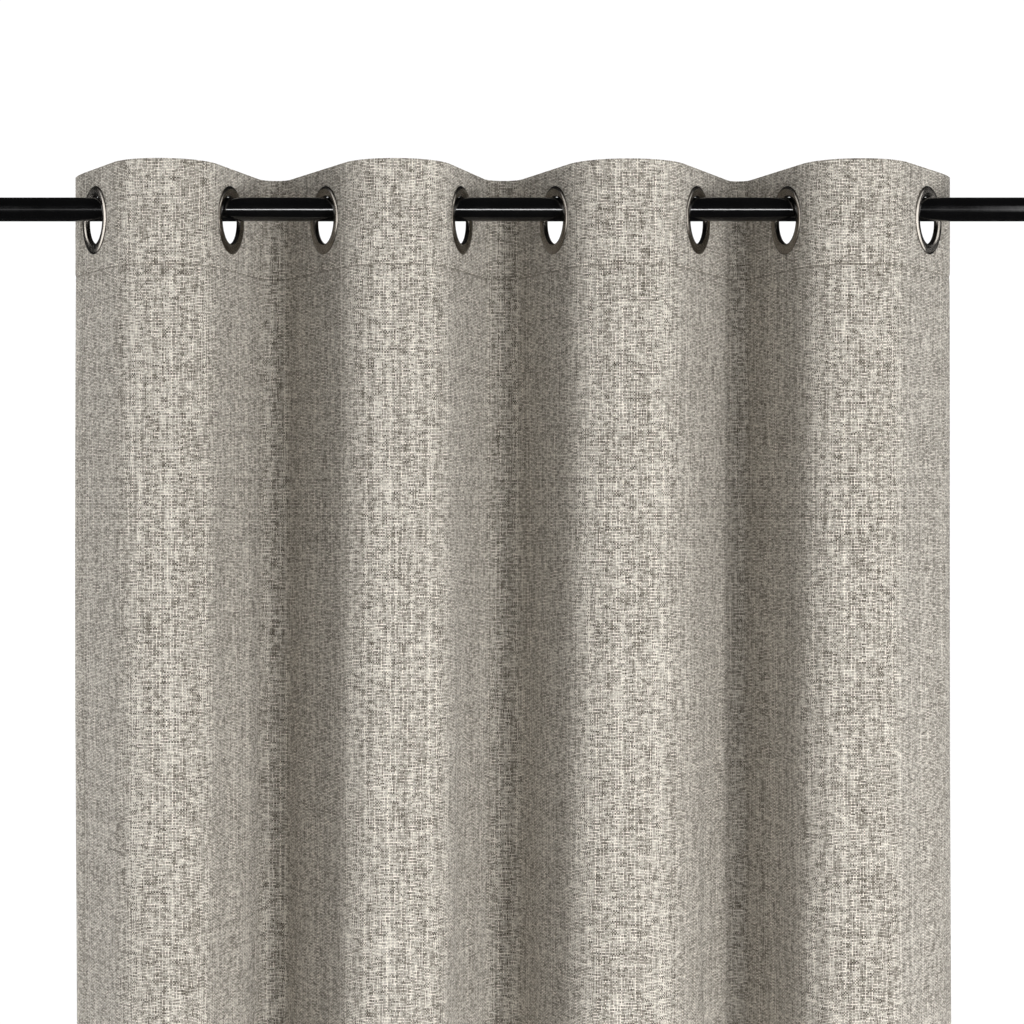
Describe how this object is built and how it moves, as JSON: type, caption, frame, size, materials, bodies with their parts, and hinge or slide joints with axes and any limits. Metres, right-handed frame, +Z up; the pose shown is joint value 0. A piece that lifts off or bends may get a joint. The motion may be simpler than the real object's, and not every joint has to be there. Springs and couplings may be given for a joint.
{
  "type": "window curtain on a rod",
  "caption": "Grommet-top linen-look curtain panel hanging in deep folds on a black telescoping rod with ball finials and wall brackets.",
  "frame": {"origin": "centre of the left wall plate's back face, on the wall at the height of the rod's axis", "axes": "+X along the rod to the right, +Y into the wall, +Z up"},
  "size_m": [1.0866, 0.1886, 2.1393],
  "materials": {
    "black_enamel": "gloss",
    "black_plastic": "satin",
    "zinc_screw": "satin",
    "gunmetal_grommet": "polished",
    "linen_cloth": "matte"
  },
  "bodies": {
    "fixed_rod": {"outer_tube": "black_enamel", "tube_sleeve": "black_plastic", "finial_left": "black_enamel", "finial_insert_left": "black_plastic", "bracket_plate_left": "black_enamel", "bracket_arm_left": "black_enamel", "bracket_cradle_left": "black_enamel", "wall_screw_left_upper": "zinc_screw", "wall_screw_left_lower": "zinc_screw"},
    "sliding_rod": {"inner_tube": "black_enamel", "finial_right": "black_enamel", "finial_insert_right": "black_plastic", "bracket_plate_right": "black_enamel", "bracket_arm_right": "black_enamel", "bracket_cradle_right": "black_enamel", "wall_screw_right_upper": "zinc_screw", "wall_screw_right_lower": "zinc_screw"},
    "left_clamp": {"clamp_screw_left": "black_enamel"},
    "right_clamp": {"clamp_screw_right": "black_enamel"},
    "panel_edge": {"return_edge": "linen_cloth"},
    "panel_fold_1": {"header_1": "linen_cloth", "drop_1": "linen_cloth", "grommet_front_1": "gunmetal_grommet", "grommet_back_1": "gunmetal_grommet"},
    "panel_fold_2": {"header_2": "linen_cloth", "drop_2": "linen_cloth", "grommet_front_2": "gunmetal_grommet", "grommet_back_2": "gunmetal_grommet"},
    "panel_fold_3": {"header_3": "linen_cloth", "drop_3": "linen_cloth", "grommet_front_3": "gunmetal_grommet", "grommet_back_3": "gunmetal_grommet"},
    "panel_fold_4": {"header_4": "linen_cloth", "drop_4": "linen_cloth", "grommet_front_4": "gunmetal_grommet", "grommet_back_4": "gunmetal_grommet"},
    "panel_fold_5": {"header_5": "linen_cloth", "drop_5": "linen_cloth", "grommet_front_5": "gunmetal_grommet", "grommet_back_5": "gunmetal_grommet"},
    "panel_fold_6": {"header_6": "linen_cloth", "drop_6": "linen_cloth", "grommet_front_6": "gunmetal_grommet", "grommet_back_6": "gunmetal_grommet"},
    "panel_fold_7": {"header_7": "linen_cloth", "drop_7": "linen_cloth", "grommet_front_7": "gunmetal_grommet", "grommet_back_7": "gunmetal_grommet"},
    "panel_fold_8": {"header_8": "linen_cloth", "drop_8": "linen_cloth", "grommet_front_8": "gunmetal_grommet", "grommet_back_8": "gunmetal_grommet"}
  },
  "joints": [
    {"name": "rod_extend", "type": "slide", "parent": "fixed_rod", "child": "sliding_rod", "axis": [1, 0, 0], "range_m": [-0.01, 0.6]},
    {"name": "clamp_screw_left_turn", "type": "hinge", "parent": "fixed_rod", "child": "left_clamp", "pos_m": [0, -0.095, -0.018], "axis": [0, 0, 1], "range_deg": [0, 720]},
    {"name": "clamp_screw_right_turn", "type": "hinge", "parent": "sliding_rod", "child": "right_clamp", "pos_m": [0.92, -0.095, -0.018], "axis": [0, 0, 1], "range_deg": [0, 720]},
    {"name": "panel_slide", "type": "slide", "parent": "fixed_rod", "child": "panel_edge", "axis": [1, 0, 0], "range_m": [-0.08, 0.02]},
    {"name": "curtain_draw", "type": "hinge", "parent": "panel_edge", "child": "panel_fold_1", "pos_m": [0.12762, -0.095, -0.00868], "axis": [0, 0, -1], "range_deg": [-3, 13]},
    {"name": "crest_1_fold", "type": "hinge", "parent": "panel_fold_1", "child": "panel_fold_2", "pos_m": [0.18117, -0.15288, -0.00868], "axis": [0, 0, -1], "range_deg": [-26, 6]},
    {"name": "crest_2_fold", "type": "hinge", "parent": "panel_fold_2", "child": "panel_fold_3", "pos_m": [0.27237, -0.02528, -0.00868], "axis": [0, 0, -1], "range_deg": [-6, 26]},
    {"name": "crest_3_fold", "type": "hinge", "parent": "panel_fold_3", "child": "panel_fold_4", "pos_m": [0.36535, -0.15258, -0.00868], "axis": [0, 0, -1], "range_deg": [-26, 6]},
    {"name": "crest_4_fold", "type": "hinge", "parent": "panel_fold_4", "child": "panel_fold_5", "pos_m": [0.45682, -0.02357, -0.00868], "axis": [0, 0, -1], "range_deg": [-6, 26]},
    {"name": "crest_5_fold", "type": "hinge", "parent": "panel_fold_5", "child": "panel_fold_6", "pos_m": [0.55149, -0.1504, -0.00868], "axis": [0, 0, -1], "range_deg": [-26, 6]},
    {"name": "crest_6_fold", "type": "hinge", "parent": "panel_fold_6", "child": "panel_fold_7", "pos_m": [0.64474, -0.02121, -0.00868], "axis": [0, 0, -1], "range_deg": [-6, 26]},
    {"name": "crest_7_fold", "type": "hinge", "parent": "panel_fold_7", "child": "panel_fold_8", "pos_m": [0.73641, -0.15135, -0.00868], "axis": [0, 0, -1], "range_deg": [-26, 6]}
  ],
  "couplings": [
    {"joint": "crest_1_fold", "follows": "curtain_draw", "ratio": -2},
    {"joint": "crest_2_fold", "follows": "curtain_draw", "ratio": 2},
    {"joint": "crest_3_fold", "follows": "curtain_draw", "ratio": -2},
    {"joint": "crest_4_fold", "follows": "curtain_draw", "ratio": 2},
    {"joint": "crest_5_fold", "follows": "curtain_draw", "ratio": -2},
    {"joint": "crest_6_fold", "follows": "curtain_draw", "ratio": 2},
    {"joint": "crest_7_fold", "follows": "curtain_draw", "ratio": -2}
  ]
}
